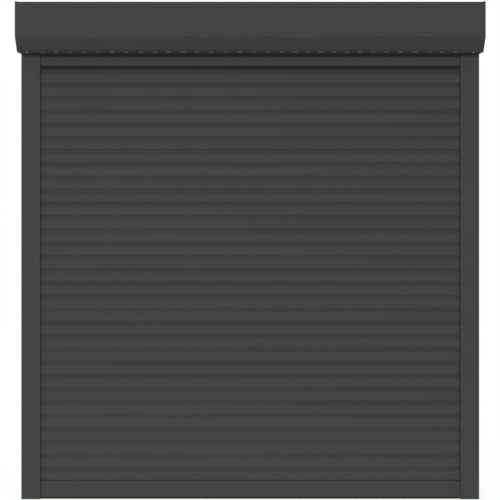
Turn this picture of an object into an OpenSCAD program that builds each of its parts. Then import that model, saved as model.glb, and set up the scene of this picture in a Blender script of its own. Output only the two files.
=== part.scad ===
// Exterior roller shutter: a box with a 45 degree slope, two guide rails and a curtain of hollow
// aluminium slats that winds onto a motor-driven octagonal shaft.
// X runs along the shutter, -Y is the outdoor side, +Z is up. The origin lies at the feet of the
// rails, midway between them and midway through the depth of the box. All sizes in millimetres.

/* [Overall] */
// Width over both end caps and both guide rails
overall_w = 1300; // [800:10:2000]
// Height of the opening, from the feet of the rails to the underside of the box
opening_h = 1260.8; // [700:0.1:1700]

/* [Box] */
// Depth of the box, from its outdoor face to the wall
box_depth = 137; // [130:1:180]
// Height of the box over its underside
box_height = 133.8; // [130:0.1:180]
// Leg of the 45 degree slope along the lower outdoor edge
box_slope = 35; // [30:1:55]
// How far the drip nose along the slope hangs under the underside of the box
nose_h = 4; // [2:0.1:6]
// Sheet thickness of the box panels
panel_t = 1.2; // [0.8:0.1:2]
// Height of the folded lips of the top panel
lip_h = 14.8; // [10:0.1:30]
// Width of the front panel's hem under the box
hem_w = 10; // [6:1:14]
// How far a panel edge tucks behind the next panel
tuck_h = 8; // [4:1:9]
// Height of the stiffening lip beside the curtain's slit
slit_lip_h = 12; // [6:1:20]
// Visible seam between two panels
seam = 0.4; // [0.2:0.1:1]

/* [Hem lugs] */
// Distance between the pressed lugs on the lower edge of the slope
lug_pitch = 38.4; // [25:0.1:60]
// Length of a pressed lug
lug_len = 14; // [6:0.5:20]
// Height of the upright face of a lug
lug_h = 3; // [1.5:0.1:5]
// Distance of a lug from the drip nose's edge, along the slope
lug_inset = 1; // [0.5:0.1:3]

/* [End caps] */
// Thickness of an end cap's plate
cap_t = 3; // [2:0.1:5]
// How far an end cap stands proud of the panels
cap_rim = 1.8; // [0.5:0.1:3]
// Width of the flange that carries the ends of the panels
flange_w = 12; // [9:1:20]
// Thickness of that flange
flange_t = 2.5; // [1.5:0.1:4]
// Reach of the screw boss behind the slope, from the plate
boss_reach = 35; // [31:1:45]
// Depth of the screw boss behind the slope
boss_d = 8; // [6:0.5:12]
// Length of the spigot that slides into a guide rail
spigot_len = 60; // [40:1:120]
// Height of the funnel that leads the slats into a rail
funnel_h = 32; // [20:1:40]
// How far the funnel opens at its top
funnel_flare = 6; // [3:0.5:8]
// Thickness of the funnel wall
funnel_t = 2; // [1.5:0.1:3]

/* [Guide rails] */
// Width of a guide rail, across the shutter
rail_w = 53; // [48:1:80]
// Depth of a guide rail
rail_d = 22; // [20:0.5:30]
// Wall thickness of a guide rail
rail_wall = 1.5; // [1.2:0.1:2.5]
// Width of the channel that the slats run in
channel_w = 12; // [11:0.1:14]
// Depth of that channel
channel_depth = 24; // [18:1:30]
// Thickness of the web behind the channel
web_t = 2; // [1.5:0.1:3]
// Diameter of the fixing holes through web and outer wall
fix_hole_d = 6; // [4:0.5:8]
// Distance of the end fixing holes from the ends of the opening
fix_hole_inset = 150; // [80:1:250]
// Thickness of the foot plug's plate
foot_t = 3; // [1.5:0.1:6]
// Height of the foot plug's insert
foot_insert_h = 12; // [6:1:30]

/* [Brush seals] */
// How far a brush seal stands out of the mouth of its rail
brush_out = 2.5; // [1:0.1:5]
// Setback of a brush seal from the faces of its rail
brush_setback = 1.8; // [1.2:0.1:2.5]
// Width of the slot that holds a brush seal
brush_slot_w = 1.2; // [0.8:0.1:1.6]
// Depth of that slot
brush_slot_d = 5; // [3:0.1:8]
// How far the slit's brush hangs under the underside of the box
slit_brush_out = 1.2; // [1:0.1:5]
// Thickness of the slit's brush
slit_brush_t = 2.5; // [1.5:0.1:3]

/* [Curtain] */
// Height that one slat covers
slat_pitch = 37.6; // [34:0.1:45]
// Thickness of a slat
slat_t = 9; // [8.5:0.1:10]
// Wall thickness of a slat
slat_wall = 1.2; // [0.8:0.1:1.3]
// Height of the flat lower part of a slat's face
slat_flat = 18.5; // [15:0.1:22]
// How far a slat's shoulder is set back at its top
slat_setback = 5.5; // [4.5:0.1:6]
// How far two slats can be drawn apart before their hooks meet
joint_play = 12; // [4:0.1:12]
// Gap between the end of a slat and the bottom of its channel
slat_end_gap = 5; // [4:0.1:8]

/* [End bar] */
// Height of the end bar, up to the lip of the last slat
bar_h = 49; // [40:0.5:60]
// Wall thickness of the end bar
bar_wall = 1.5; // [1.2:0.1:1.8]
// Height of the shadow line over the end bar's face
bar_line_h = 2.4; // [1.5:0.1:5]
// Distance of the groove in the face from the top of the end bar
bar_groove_drop = 16.2; // [9:0.1:20]
// Width of that groove
bar_groove_w = 1.6; // [1:0.1:2.5]
// Height of the rubber seal under the end bar
bar_seal_h = 4.6; // [2:0.1:8]
// Thickness of the flange of the end bar's end plugs
bar_plug_t = 3; // [2:0.1:4]
// Length of the end plugs inside the end bar
bar_plug_len = 20; // [10:1:40]

/* [Roller shaft] */
// Width across the flats of the octagonal shaft
shaft_af = 40; // [40:0.5:46]
// Wall thickness of the shaft
shaft_wall = 0.8; // [0.6:0.1:1]
// Distance of the shaft's ends from the ends of the shutter
shaft_inset = 24; // [23:0.5:40]
// Number of hanger straps
strap_count = 4; // [2:1:6]
// Width of a hanger strap
strap_w = 24; // [15:1:40]
// Thickness of a hanger strap
strap_t = 1; // [0.8:0.1:1.2]

/* [Motor] */
// Diameter of the motor tube
motor_d = 35; // [30:0.5:36]
// Length of the motor tube
motor_len = 420; // [300:1:500]
// Diameter of the motor head
motor_head_d = 40; // [38:0.5:46]
// Width of the square stub on the motor head
motor_stub_w = 16; // [12:0.5:20]
// Diameter of the drive wheel's stub
drive_stub_d = 11.2; // [9:0.1:14]
// Diameter of the cable bore in the gland
gland_bore_d = 8; // [6:0.5:10]
// Wall thickness of the gland
gland_wall = 2; // [1.5:0.1:3]

/* [Bearing] */
// Bore of the ball bearing
bearing_bore_d = 12; // [10:0.5:14]
// Outer diameter of the ball bearing
bearing_d = 28; // [26:0.5:32]
// Width of the ball bearing
bearing_w = 8; // [7:0.5:8]
// Diameter of a bearing ball
ball_d = 5; // [4:0.1:5.5]
// Number of bearing balls
ball_count = 8; // [5:1:8]
// Thickness of a bracket's plate
bracket_t = 4; // [3:0.1:5]
// Width of a bracket's plate
bracket_w = 68; // [60:1:72]

/* [Screws] */
// Diameter of a screw's shank
screw_d = 3.8; // [3:0.1:4.5]
// Diameter of a cover screw's head
cover_head_d = 6; // [5:0.1:6.8]
// Height of a cover screw's head
cover_head_h = 1.8; // [1:0.1:2.5]
// Length of a cover screw under its head
cover_screw_len = 7.5; // [6:0.1:8]
// Diameter of a frame screw's head
frame_head_d = 8; // [6:0.1:9]
// Height of a frame screw's head
frame_head_h = 2.2; // [1.5:0.1:3]
// Length of a frame screw under its head
frame_screw_len = 6.4; // [5:0.1:6.4]

/* [Clearances] */
// Running gap beside moving pieces
run_gap = 0.3; // [0.2:0.05:0.5]
// Gap around pieces that are pushed into one another
fit_gap = 0.1; // [0.05:0.05:0.3]

/* [Hidden] */
$fn = 48;
half_w = overall_w / 2;
front_y = -box_depth / 2;
back_y = box_depth / 2;
bottom_z = opening_h;
top_z = opening_h + box_height;
shaft_z = opening_h + box_height / 2;

// Places across the shutter, counted on the +X side
cap_in_x = half_w - cap_t;
mouth_x = half_w - rail_w;
channel_x = mouth_x + channel_depth;
chamber_x = channel_x + web_t;
panel_len = 2 * cap_in_x;
end_gap = 1;
tuck_len = 2 * (cap_in_x - flange_w - end_gap);
cover_tuck_len = 2 * (cap_in_x - boss_reach - end_gap);
slit_len = 2 * (mouth_x - brush_out - end_gap);

// Places through the depth
rail_y = back_y - rail_d;
channel_y = back_y - rail_d / 2;
slat_y = channel_y - slat_t / 2;
slit_setback = 1;
slit_y = rail_y + slit_setback;
slit_back_gap = 1.5;
slit_back_y = slat_y + slat_t + slit_back_gap;

// Levels of the panels' outer and inner faces, as insets from the end cap's outline
skin = cap_rim;
core = cap_rim + panel_t;
lip_z = top_z - skin - lip_h;
slope_edge_y = front_y + box_slope + skin * sqrt(2);
nose_y = slope_edge_y + nose_h;
cover_y = nose_y + hem_w + seam;
slope_up = [-sqrt(0.5), sqrt(0.5)];
slope_in = [sqrt(0.5), sqrt(0.5)];
screw_margin = 0.5;
slope_screw_inset = cover_head_d / 2 + screw_margin;
boss_screw_inset = 10;
slope_screw_x = cap_in_x - boss_reach + boss_screw_inset;
boss_w = 14;
cover_screw_x = cap_in_x - flange_w / 2;
cover_screw_inset = 9;
hole_d = screw_d + 2 * fit_gap;
lug_half_count = floor((mouth_x - lug_len) / lug_pitch);
tuck_root = 4;

// Curtain
slat_len = 2 * (channel_x - slat_end_gap);
slat_count = ceil((opening_h - bar_seal_h - bar_h - joint_play) / slat_pitch);
hook_h = joint_play + 2 * slat_wall + run_gap;
hook_side_gap = 0.6;
hook_tip = slat_wall + hook_side_gap;
bead_gap = 1.2;
bead_reach = slat_setback - bead_gap;
pocket_h = hook_h + run_gap;
back_drop = 1.5;
shoulder_h = slat_pitch - slat_flat;
belly_r = (shoulder_h * shoulder_h + slat_setback * slat_setback) / (2 * slat_setback);
belly_steps = 8;
edge_d = 0.5;
edge_h = 0.6;
bar_len = slat_len - 2 * bar_plug_t;
tee_slot_w = 2.4;
tee_foot_w = 4.6;
tee_lip_h = 1.5;
tee_foot_h = 3;
bar_floor_h = tee_lip_h + tee_foot_h + bar_wall;
bar_roof_h = 6;

// Roller shaft, counted along X
shaft_end_x = half_w - shaft_inset;
shaft_inner_af = shaft_af - 2 * shaft_wall;
plug_af = shaft_inner_af - 2 * fit_gap;
plug_len = 20;
plug_flange_t = 2;
plug_flange_d = shaft_af + 2;
bracket_in_x = cap_in_x - bracket_t;
motor_x = shaft_end_x + plug_flange_t + run_gap;
motor_far_x = motor_x - motor_len;
drive_gap = 4;
drive_wheel_len = 14;
drive_stub_len = drive_gap + 10;
bearing_mid_r = (bearing_bore_d + bearing_d) / 4;
race_gap = bearing_mid_r - 0.28 * ball_d;
groove_r = ball_d / 2 + run_gap;
bearing_out_x = cap_in_x - 2;
bearing_in_x = bearing_out_x - bearing_w;
bearing_seat_wall = 4;
bearing_shoulder_w = 4;
bracket_screw_r = bracket_w / 2 - 8;
guide_screw_drop = 25;
gland_y = back_y - 21;
gland_z = top_z - 22;
gland_flange_t = 2;
gland_flange_w = 3;

coat = [0.27, 0.27, 0.27];
plastic = [0.06, 0.06, 0.06];
steel = [0.62, 0.63, 0.64];

function slat_name(i) = str("slat_", i < 10 ? "0" : "", i);
function slat_z(i) = bar_seal_h + bar_h + (slat_count - i) * slat_pitch + (i == 1 ? joint_play : 0);
function across_corners(af) = af / cos(22.5);

// Outline of the box in the YZ plane, inset by d at the outdoor side and by b at the wall and below
function box_outline(d, b) = [
    [front_y + d, top_z - d],
    [back_y - b, top_z - d],
    [back_y - b, bottom_z + b],
    [front_y + box_slope + d * sqrt(2) - b, bottom_z + b],
    [front_y + d, bottom_z + box_slope + d * (sqrt(2) - 1)]
];

// A flat shape drawn as (y, z), extruded along X between two places
module between_x(x0, x1) {
    translate([x0, 0, 0]) rotate([90, 0, 90]) linear_extrude(x1 - x0) children();
}

module along_x(length) {
    between_x(-length / 2, length / 2) children();
}

module on_side(side) {
    if (side > 0) children();
    else mirror([1, 0, 0]) children();
}

module on_both_sides() {
    for (side = [-1, 1]) on_side(side) children();
}

module x_cylinder(x0, x1, d) {
    translate([x0, 0, 0]) rotate([0, 90, 0]) cylinder(h = x1 - x0, d = d);
}

module on_shaft_axis() {
    translate([0, 0, shaft_z]) children();
}

module octagon_bar(x0, x1, af) {
    on_shaft_axis() translate([x0, 0, 0]) rotate([0, 90, 0]) rotate([0, 0, 22.5])
        cylinder(h = x1 - x0, d = across_corners(af), $fn = 8);
}

module block(x0, x1, y0, y1, z0, z1) {
    translate([x0, y0, z0]) cube([x1 - x0, y1 - y0, z1 - z0]);
}

// Panels of the box
module box_top_panel() color(coat) along_x(panel_len) {
    polygon([
        [front_y + skin, lip_z], [front_y + skin, top_z - skin],
        [back_y, top_z - skin], [back_y, lip_z],
        [back_y - panel_t, lip_z], [back_y - panel_t, top_z - core],
        [front_y + core, top_z - core], [front_y + core, lip_z]
    ]);
}

// Place on the slope, counted up from the edge of the drip nose
function slope_point(inset) = [nose_y, bottom_z - nose_h] + inset * slope_up;

module hem_lug(x) {
    low = slope_point(lug_inset);
    high = slope_point(lug_inset + lug_h * sqrt(2));
    root = 0.4 * slope_in;
    translate([x, 0, 0]) along_x(lug_len)
        polygon([low + root, low, [high[0], low[1]], high, high + root]);
}

module box_front_panel() color(coat) difference() {
    outer = box_outline(skin, 0);
    inner = box_outline(core, panel_t);
    seam_z = lip_z - seam;
    tuck_y = front_y + core + fit_gap;
    union() {
        along_x(panel_len) polygon([
            [outer[4][0], seam_z], outer[4], slope_point(0),
            [nose_y, bottom_z], [nose_y + hem_w, bottom_z], [nose_y + hem_w, bottom_z + panel_t],
            inner[3], inner[4], [inner[4][0], seam_z]
        ]);
        along_x(tuck_len) polygon([
            [tuck_y - panel_t, seam_z - tuck_root], [tuck_y + panel_t, seam_z - tuck_root],
            [tuck_y + panel_t, seam_z + tuck_h], [tuck_y, seam_z + tuck_h],
            [tuck_y, seam_z - seam], [tuck_y - panel_t, seam_z - seam]
        ]);
        for (i = [-lug_half_count : lug_half_count]) hem_lug(i * lug_pitch);
    }
    on_both_sides() slope_screw_place() cylinder(h = 2 * cover_screw_len + 1, d = hole_d, center = true);
}

module box_inspection_cover() color(coat) difference() {
    tuck_z = bottom_z + panel_t + fit_gap;
    union() {
        along_x(panel_len) polygon([
            [cover_y, bottom_z], [slit_y, bottom_z],
            [slit_y, bottom_z + panel_t], [cover_y, bottom_z + panel_t]
        ]);
        along_x(cover_tuck_len) polygon([
            [cover_y + seam, bottom_z], [cover_y + tuck_root, bottom_z],
            [cover_y + tuck_root, tuck_z + panel_t],
            [cover_y - tuck_h, tuck_z + panel_t], [cover_y - tuck_h, tuck_z], [cover_y + seam, tuck_z]
        ]);
        along_x(slit_len) polygon([
            [slit_y - panel_t, bottom_z], [slit_y, bottom_z],
            [slit_y, bottom_z + slit_lip_h], [slit_y - panel_t, bottom_z + slit_lip_h]
        ]);
    }
    on_both_sides() under_screw_places() cylinder(h = 4 * panel_t, d = hole_d, center = true);
}

module box_back_panel() color(coat) {
    seam_z = lip_z - seam;
    tuck_y = back_y - panel_t - fit_gap;
    along_x(panel_len) polygon([
        [back_y - panel_t, bottom_z], [back_y, bottom_z],
        [back_y, seam_z], [back_y - panel_t, seam_z]
    ]);
    along_x(tuck_len) polygon([
        [tuck_y + panel_t, seam_z - tuck_root], [tuck_y - panel_t, seam_z - tuck_root],
        [tuck_y - panel_t, seam_z + tuck_h], [tuck_y, seam_z + tuck_h],
        [tuck_y, seam_z - seam], [tuck_y + panel_t, seam_z - seam]
    ]);
    along_x(slit_len) polygon([
        [slit_back_y, bottom_z], [back_y - panel_t / 2, bottom_z],
        [back_y - panel_t / 2, bottom_z + panel_t], [slit_back_y, bottom_z + panel_t]
    ]);
}

// End caps, drawn on the +X side
module end_cap(with_gland) {
    corner = box_outline(core, panel_t)[3];
    spigot_y = channel_y - rail_d / 2 + rail_wall + 2 * fit_gap;
    spigot_back_y = back_y - rail_wall - 2 * fit_gap;
    funnel_y = channel_y - channel_w / 2;
    funnel_z = bottom_z + panel_t + run_gap;
    difference() {
        union() {
            between_x(cap_in_x, half_w) polygon(box_outline(0, 0));
            between_x(cap_in_x, half_w) polygon([
                box_outline(0, 0)[4], box_outline(0, 0)[4] + [0, skin], [nose_y, bottom_z + skin],
                [nose_y, bottom_z - nose_h], box_outline(0, 0)[3] + nose_h * [1, -1]
            ]);
            difference() {
                between_x(cap_in_x - flange_w, half_w) polygon(box_outline(core, panel_t));
                between_x(cap_in_x - flange_w - 1, cap_in_x)
                    polygon(box_outline(core + flange_t, panel_t + flange_t));
            }
            block(chamber_x + 2 * fit_gap, half_w - rail_wall - 2 * fit_gap, spigot_y, spigot_back_y,
                bottom_z - spigot_len, bottom_z + panel_t + flange_t);
            between_x(mouth_x, half_w - cap_t / 2) polygon([
                [funnel_y - funnel_t, funnel_z], [funnel_y, funnel_z],
                [funnel_y - funnel_flare, funnel_z + funnel_h],
                [funnel_y - funnel_flare - funnel_t, funnel_z + funnel_h]
            ]);
            between_x(cap_in_x - boss_reach, half_w - cap_t / 2) polygon([
                corner, corner + boss_w * slope_up, corner + boss_w * slope_up + boss_d * slope_in,
                corner + boss_d * (slope_in - slope_up)
            ]);
        }
        slope_screw_place() cylinder(h = 2 * cover_screw_len + 1, d = hole_d, center = true);
        under_screw_places() cylinder(h = 2 * cover_screw_len + 1, d = hole_d, center = true);
        bracket_screw_places() cylinder(h = 2 * frame_screw_len + 0.4, d = hole_d, center = true);
        guide_screw_place() cylinder(h = 2 * frame_screw_len + 1, d = hole_d, center = true);
        if (with_gland) gland_place() x_cylinder(cap_in_x - 1, half_w + 1, gland_body_d());
    }
}

module end_cap_left() color(coat) on_side(-1) end_cap(false);

module end_cap_right() color(coat) on_side(1) end_cap(true);

// Guide rails, drawn on the +X side
module guide_rail() {
    mid_z = (foot_t + opening_h) / 2;
    difference() {
        block(mouth_x, half_w, rail_y, back_y, foot_t, opening_h);
        block(mouth_x - 1, channel_x, channel_y - channel_w / 2, channel_y + channel_w / 2,
            foot_t - 1, opening_h + 1);
        block(chamber_x, half_w - rail_wall, rail_y + rail_wall, back_y - rail_wall,
            foot_t - 1, opening_h + 1);
        for (y = brush_slot_ys())
            block(mouth_x - 1, mouth_x + brush_slot_d, y - brush_slot_w / 2, y + brush_slot_w / 2,
                foot_t - 1, opening_h + 1);
        for (z = [fix_hole_inset, mid_z, opening_h - fix_hole_inset])
            translate([0, channel_y, z]) x_cylinder(channel_x - 1, half_w + 1, fix_hole_d);
        guide_screw_place() cylinder(h = 2 * web_t + 1, d = hole_d, center = true);
    }
}

module guide_rail_left() color(coat) on_side(-1) guide_rail();

module guide_rail_right() color(coat) on_side(1) guide_rail();

// Middle of the outdoor and the wall-side lip of a rail's mouth
function brush_slot_ys() = [
    (rail_y + channel_y - channel_w / 2) / 2,
    (back_y + channel_y + channel_w / 2) / 2
];

module guide_brush_seals() color(plastic) {
    on_both_sides() rail_brushes();
    block(-slit_len / 2, slit_len / 2, slit_y, slit_y + slit_brush_t,
        bottom_z - slit_brush_out, bottom_z + slit_lip_h);
}

module rail_brushes() {
    slots = brush_slot_ys();
    tongue = brush_slot_w / 2 - fit_gap / 2;
    heads = [
        [rail_y + brush_setback, slat_y - run_gap],
        [slat_y + slat_t + run_gap, back_y - brush_setback]
    ];
    for (i = [0, 1]) {
        block(mouth_x - brush_out, mouth_x, heads[i][0], heads[i][1], foot_t, opening_h);
        block(mouth_x - brush_out / 2, mouth_x + brush_slot_d - fit_gap, slots[i] - tongue, slots[i] + tongue,
            foot_t, opening_h);
    }
}

module guide_foot_plugs() color(plastic) on_both_sides() {
    gap = 3 * fit_gap;
    difference() {
        block(mouth_x, half_w, rail_y, back_y, 0, foot_t);
        block(mouth_x - 1, channel_x, channel_y - channel_w / 2, channel_y + channel_w / 2, -1, foot_t + 1);
    }
    block(chamber_x + gap, half_w - rail_wall - gap, rail_y + rail_wall + gap, back_y - rail_wall - gap,
        foot_t / 2, foot_t + foot_insert_h);
}

// Cable gland in the end cap on the motor's side
function gland_body_d() = gland_bore_d + 2 * gland_wall;

module gland_place() {
    translate([0, gland_y, gland_z]) children();
}

module cable_gland() color(plastic) gland_place() difference() {
    union() {
        x_cylinder(cap_in_x - gland_flange_t, half_w, gland_body_d() - fit_gap);
        x_cylinder(cap_in_x - gland_flange_t, cap_in_x, gland_body_d() + 2 * gland_flange_w);
    }
    x_cylinder(cap_in_x - gland_flange_t - 1, half_w + 1, gland_bore_d);
}

// Places of the screws: each looks along the screw's shank, from under its head
module slope_screw_place() {
    place = slope_point(slope_screw_inset);
    translate([slope_screw_x, place[0], place[1]]) rotate([-45, 0, 0]) children();
}

module under_screw_places() {
    for (y = [cover_y + cover_screw_inset, slit_y - cover_screw_inset])
        translate([cover_screw_x, y, bottom_z]) children();
}

module bracket_screw_places() {
    for (y = [-1, 1], z = [-1, 1])
        translate([bracket_in_x, y * bracket_screw_r, shaft_z + z * bracket_screw_r])
            rotate([0, 90, 0]) children();
}

module guide_screw_place() {
    translate([channel_x, channel_y, opening_h - guide_screw_drop]) rotate([0, 90, 0]) children();
}

module screw(head_d, head_h, shank_len) {
    translate([0, 0, -head_h]) cylinder(h = head_h, d = head_d);
    translate([0, 0, -head_h / 2]) cylinder(h = shank_len + head_h / 2, d = screw_d);
}

module cover_screws() color(steel) on_both_sides() {
    slope_screw_place() screw(cover_head_d, cover_head_h, cover_screw_len);
    under_screw_places() screw(cover_head_d, cover_head_h, cover_screw_len);
}

module frame_screws() color(steel) on_both_sides() {
    bracket_screw_places() screw(frame_head_d, frame_head_h, frame_screw_len);
    guide_screw_place() screw(frame_head_d, frame_head_h, frame_screw_len);
}

// Motor, on the +X side
module motor_tube() color(steel) on_shaft_axis() difference() {
    x_cylinder(motor_far_x, motor_x, motor_d);
    x_cylinder(motor_far_x - 1, motor_far_x + drive_stub_len, drive_stub_d + 2 * run_gap);
}

module motor_head() color(plastic) on_shaft_axis() {
    x_cylinder(motor_x, bracket_in_x, motor_head_d);
    w = motor_stub_w / 2;
    block(bracket_in_x - 1, cap_in_x, -w, w, -w, w);
}

module bracket_plate() {
    cut = 10;
    w = bracket_w / 2;
    between_x(bracket_in_x, cap_in_x) polygon([
        [-w + cut, -w], [w - cut, -w], [w, -w + cut], [w, w - cut],
        [w - cut, w], [-w + cut, w], [-w, w - cut], [-w, -w + cut]
    ]);
}

module motor_bracket() color(steel) difference() {
    w = motor_stub_w / 2 + fit_gap;
    on_shaft_axis() bracket_plate();
    on_shaft_axis() block(bracket_in_x - 1, cap_in_x + 1, -w, w, -w, w);
    bracket_screw_places() cylinder(h = 4 * bracket_t, d = hole_d, center = true);
}

module crown_ring() color(plastic) difference() {
    union() {
        octagon_bar(shaft_end_x - plug_len, shaft_end_x + plug_flange_t / 2, plug_af);
        on_shaft_axis() x_cylinder(shaft_end_x, shaft_end_x + plug_flange_t, plug_flange_d);
    }
    on_shaft_axis() x_cylinder(shaft_end_x - plug_len - 1, motor_x, motor_d + 2 * run_gap);
}

module drive_wheel() color(plastic) {
    far_x = motor_far_x - drive_gap - drive_wheel_len;
    octagon_bar(far_x, motor_far_x - drive_gap, plug_af);
    on_shaft_axis() x_cylinder(far_x + 1, motor_far_x - drive_gap + drive_stub_len, drive_stub_d);
}

// Bearing end, drawn on the +X side and mirrored to the -X side
module bearing_bracket() color(steel) on_side(-1) difference() {
    seat_d = bearing_d + 2 * bearing_seat_wall;
    union() {
        on_shaft_axis() bracket_plate();
        on_shaft_axis() x_cylinder(bearing_in_x, cap_in_x - 1, seat_d);
    }
    on_shaft_axis() x_cylinder(bearing_in_x - 1, bearing_out_x, bearing_d + fit_gap);
    on_shaft_axis() x_cylinder(bearing_in_x - 1, cap_in_x + 1, bearing_d - 2 * bearing_shoulder_w);
    bracket_screw_places() cylinder(h = 4 * bracket_t, d = hole_d, center = true);
}

module ball_groove() {
    on_shaft_axis() translate([(bearing_in_x + bearing_out_x) / 2, 0, 0]) rotate([0, 90, 0])
        rotate_extrude() translate([bearing_mid_r, 0]) circle(r = groove_r);
}

module bearing_outer_ring() color(steel) on_side(-1) difference() {
    on_shaft_axis() x_cylinder(bearing_in_x, bearing_out_x, bearing_d);
    on_shaft_axis() x_cylinder(bearing_in_x - 1, bearing_out_x + 1, 4 * bearing_mid_r - 2 * race_gap);
    ball_groove();
}

module bearing_inner_ring() color(steel) on_side(-1) difference() {
    on_shaft_axis() x_cylinder(bearing_in_x, bearing_out_x, 2 * race_gap);
    on_shaft_axis() x_cylinder(bearing_in_x - 1, bearing_out_x + 1, bearing_bore_d);
    ball_groove();
}

module bearing_balls() color(steel) on_side(-1) on_shaft_axis() {
    for (i = [0 : ball_count - 1]) rotate([i * 360 / ball_count, 0, 0])
        translate([(bearing_in_x + bearing_out_x) / 2, bearing_mid_r, 0]) sphere(d = ball_d);
}

module idler_cap() color(plastic) on_side(-1) {
    octagon_bar(shaft_end_x - plug_len, shaft_end_x + plug_flange_t / 2, plug_af);
    on_shaft_axis() x_cylinder(shaft_end_x, shaft_end_x + plug_flange_t, plug_flange_d);
    on_shaft_axis() x_cylinder(shaft_end_x - 1, bearing_out_x + 1, bearing_bore_d - fit_gap);
}

// Roller shaft and the straps that the curtain hangs on
module roller_shaft() color(steel) difference() {
    octagon_bar(-shaft_end_x, shaft_end_x, shaft_af);
    octagon_bar(-shaft_end_x - 1, shaft_end_x + 1, shaft_inner_af);
}

// A strap lies on the upper wall-side flat of the shaft, runs down to the curtain and grips the
// hook of the first slat from below
module hanger_straps() color(steel) {
    flat = shaft_af / 2 * slope_in + [0, shaft_z];
    grip = shaft_af * 0.2;
    strap_y = slat_y + hook_tip - run_gap - strap_t;
    foot_z = slat_z(1) + slat_pitch + hook_h - slat_wall - run_gap - strap_t;
    neck_y = slat_y + slat_setback - run_gap;
    bend_out_z = max(flat[1] + flat[0] - strap_y, foot_z + 3 * strap_t);
    lift = strap_t * sqrt(2);
    span = slat_len / strap_count;
    for (i = [0 : strap_count - 1]) translate([(i - (strap_count - 1) / 2) * span, 0, 0]) along_x(strap_w)
        polygon([
            flat + grip * slope_up,
            flat + grip * slope_up + strap_t * slope_in,
            [strap_y + strap_t, bend_out_z + lift - strap_t],
            [strap_y + strap_t, foot_z + strap_t],
            [neck_y, foot_z + strap_t],
            [neck_y, foot_z],
            [strap_y, foot_z],
            [strap_y, bend_out_z]
        ]);
}

// Curtain. Profiles are drawn as (depth from the face, height over the lower lip).
function belly(inset, low_h, top_h) = let (
    r = belly_r - inset,
    first = asin((low_h - slat_flat) / r),
    sweep = asin((top_h - slat_flat) / r) - first
) [
    for (k = [0 : belly_steps]) let (turn = first + k / belly_steps * sweep)
        [belly_r - r * cos(turn), slat_flat + r * sin(turn)]
];

// Neck and hook that stand over a shoulder at height h and reach into the pocket of the next slat
function hook_outline(h) = [
    [slat_setback, h],
    [slat_setback, h + hook_h - slat_wall],
    [hook_tip, h + hook_h - slat_wall],
    [hook_tip, h + hook_h],
    [slat_setback + slat_wall, h + hook_h],
    [slat_setback + slat_wall, h],
    [slat_t, h - back_drop]
];

function slat_outline() = concat(
    [[edge_d, 0], [0, edge_h]],
    belly(0, slat_flat, slat_pitch),
    hook_outline(slat_pitch),
    [
        [slat_t, 0], [slat_t - slat_wall, 0], [slat_t - slat_wall, pocket_h],
        [slat_wall, pocket_h], [slat_wall, slat_wall], [bead_reach, slat_wall], [bead_reach, 0]
    ]
);

function slat_chamber() = let (
    floor_h = pocket_h + slat_wall,
    roof_h = slat_pitch - 2.5 * slat_wall
) concat(
    floor_h < slat_flat ? [[slat_wall, floor_h]] : [],
    belly(slat_wall, max(slat_flat, floor_h), roof_h),
    [[slat_t - slat_wall, roof_h], [slat_t - slat_wall, floor_h]]
);

module slat(i) color(coat) translate([0, slat_y, slat_z(i)]) difference() {
    along_x(slat_len) polygon(slat_outline());
    along_x(slat_len + 2) polygon(slat_chamber());
}

// Bar at the lower end of the curtain
module at_end_bar() {
    translate([0, slat_y, bar_seal_h]) children();
}

function bar_outline() = concat(
    [
        [edge_d, 0], [0, edge_h],
        [0, bar_h - bar_groove_drop - bar_groove_w / 2],
        [bar_groove_w / 2, bar_h - bar_groove_drop],
        [0, bar_h - bar_groove_drop + bar_groove_w / 2],
        [0, bar_h - bar_line_h], [slat_setback, bar_h - bar_line_h + 1]
    ],
    hook_outline(bar_h),
    [[slat_t, edge_h], [slat_t - edge_d, 0]]
);

// Tee shape under the end bar: a slot, or with a negative gap the tongue that fills it
function tee(gap) = let (mid = slat_t / 2) [
    [mid - tee_slot_w / 2 + gap, -1], [mid + tee_slot_w / 2 - gap, -1],
    [mid + tee_slot_w / 2 - gap, tee_lip_h + gap], [mid + tee_foot_w / 2 - gap, tee_lip_h + gap],
    [mid + tee_foot_w / 2 - gap, tee_lip_h + tee_foot_h - gap],
    [mid - tee_foot_w / 2 + gap, tee_lip_h + tee_foot_h - gap],
    [mid - tee_foot_w / 2 + gap, tee_lip_h + gap], [mid - tee_slot_w / 2 + gap, tee_lip_h + gap]
];

function bar_chamber(gap) = [
    [bar_wall + gap, bar_floor_h + gap], [slat_t - bar_wall - gap, bar_floor_h + gap],
    [slat_t - bar_wall - gap, bar_h - bar_roof_h - gap], [bar_wall + gap, bar_h - bar_roof_h - gap]
];

module end_bar() color(coat) at_end_bar() difference() {
    along_x(bar_len) polygon(bar_outline());
    along_x(bar_len + 2) polygon(tee(0));
    along_x(bar_len + 2) polygon(bar_chamber(0));
}

module end_bar_seal() color(plastic) at_end_bar() {
    edge = 0.8;
    along_x(slit_len) polygon(tee(fit_gap));
    along_x(slit_len) polygon([
        [edge, 0], [edge, -bar_seal_h + edge], [2 * edge, -bar_seal_h],
        [slat_t - 2 * edge, -bar_seal_h], [slat_t - edge, -bar_seal_h + edge], [slat_t - edge, 0]
    ]);
}

module end_bar_plugs() color(plastic) at_end_bar() on_both_sides() {
    between_x(bar_len / 2 - bar_plug_len, bar_len / 2 + 1) polygon(bar_chamber(fit_gap));
    between_x(bar_len / 2, slat_len / 2) polygon([
        [edge_d, edge_h], [slat_t - edge_d, edge_h],
        [slat_t - edge_d, bar_h - bar_line_h], [edge_d, bar_h - bar_line_h]
    ]);
}

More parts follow.
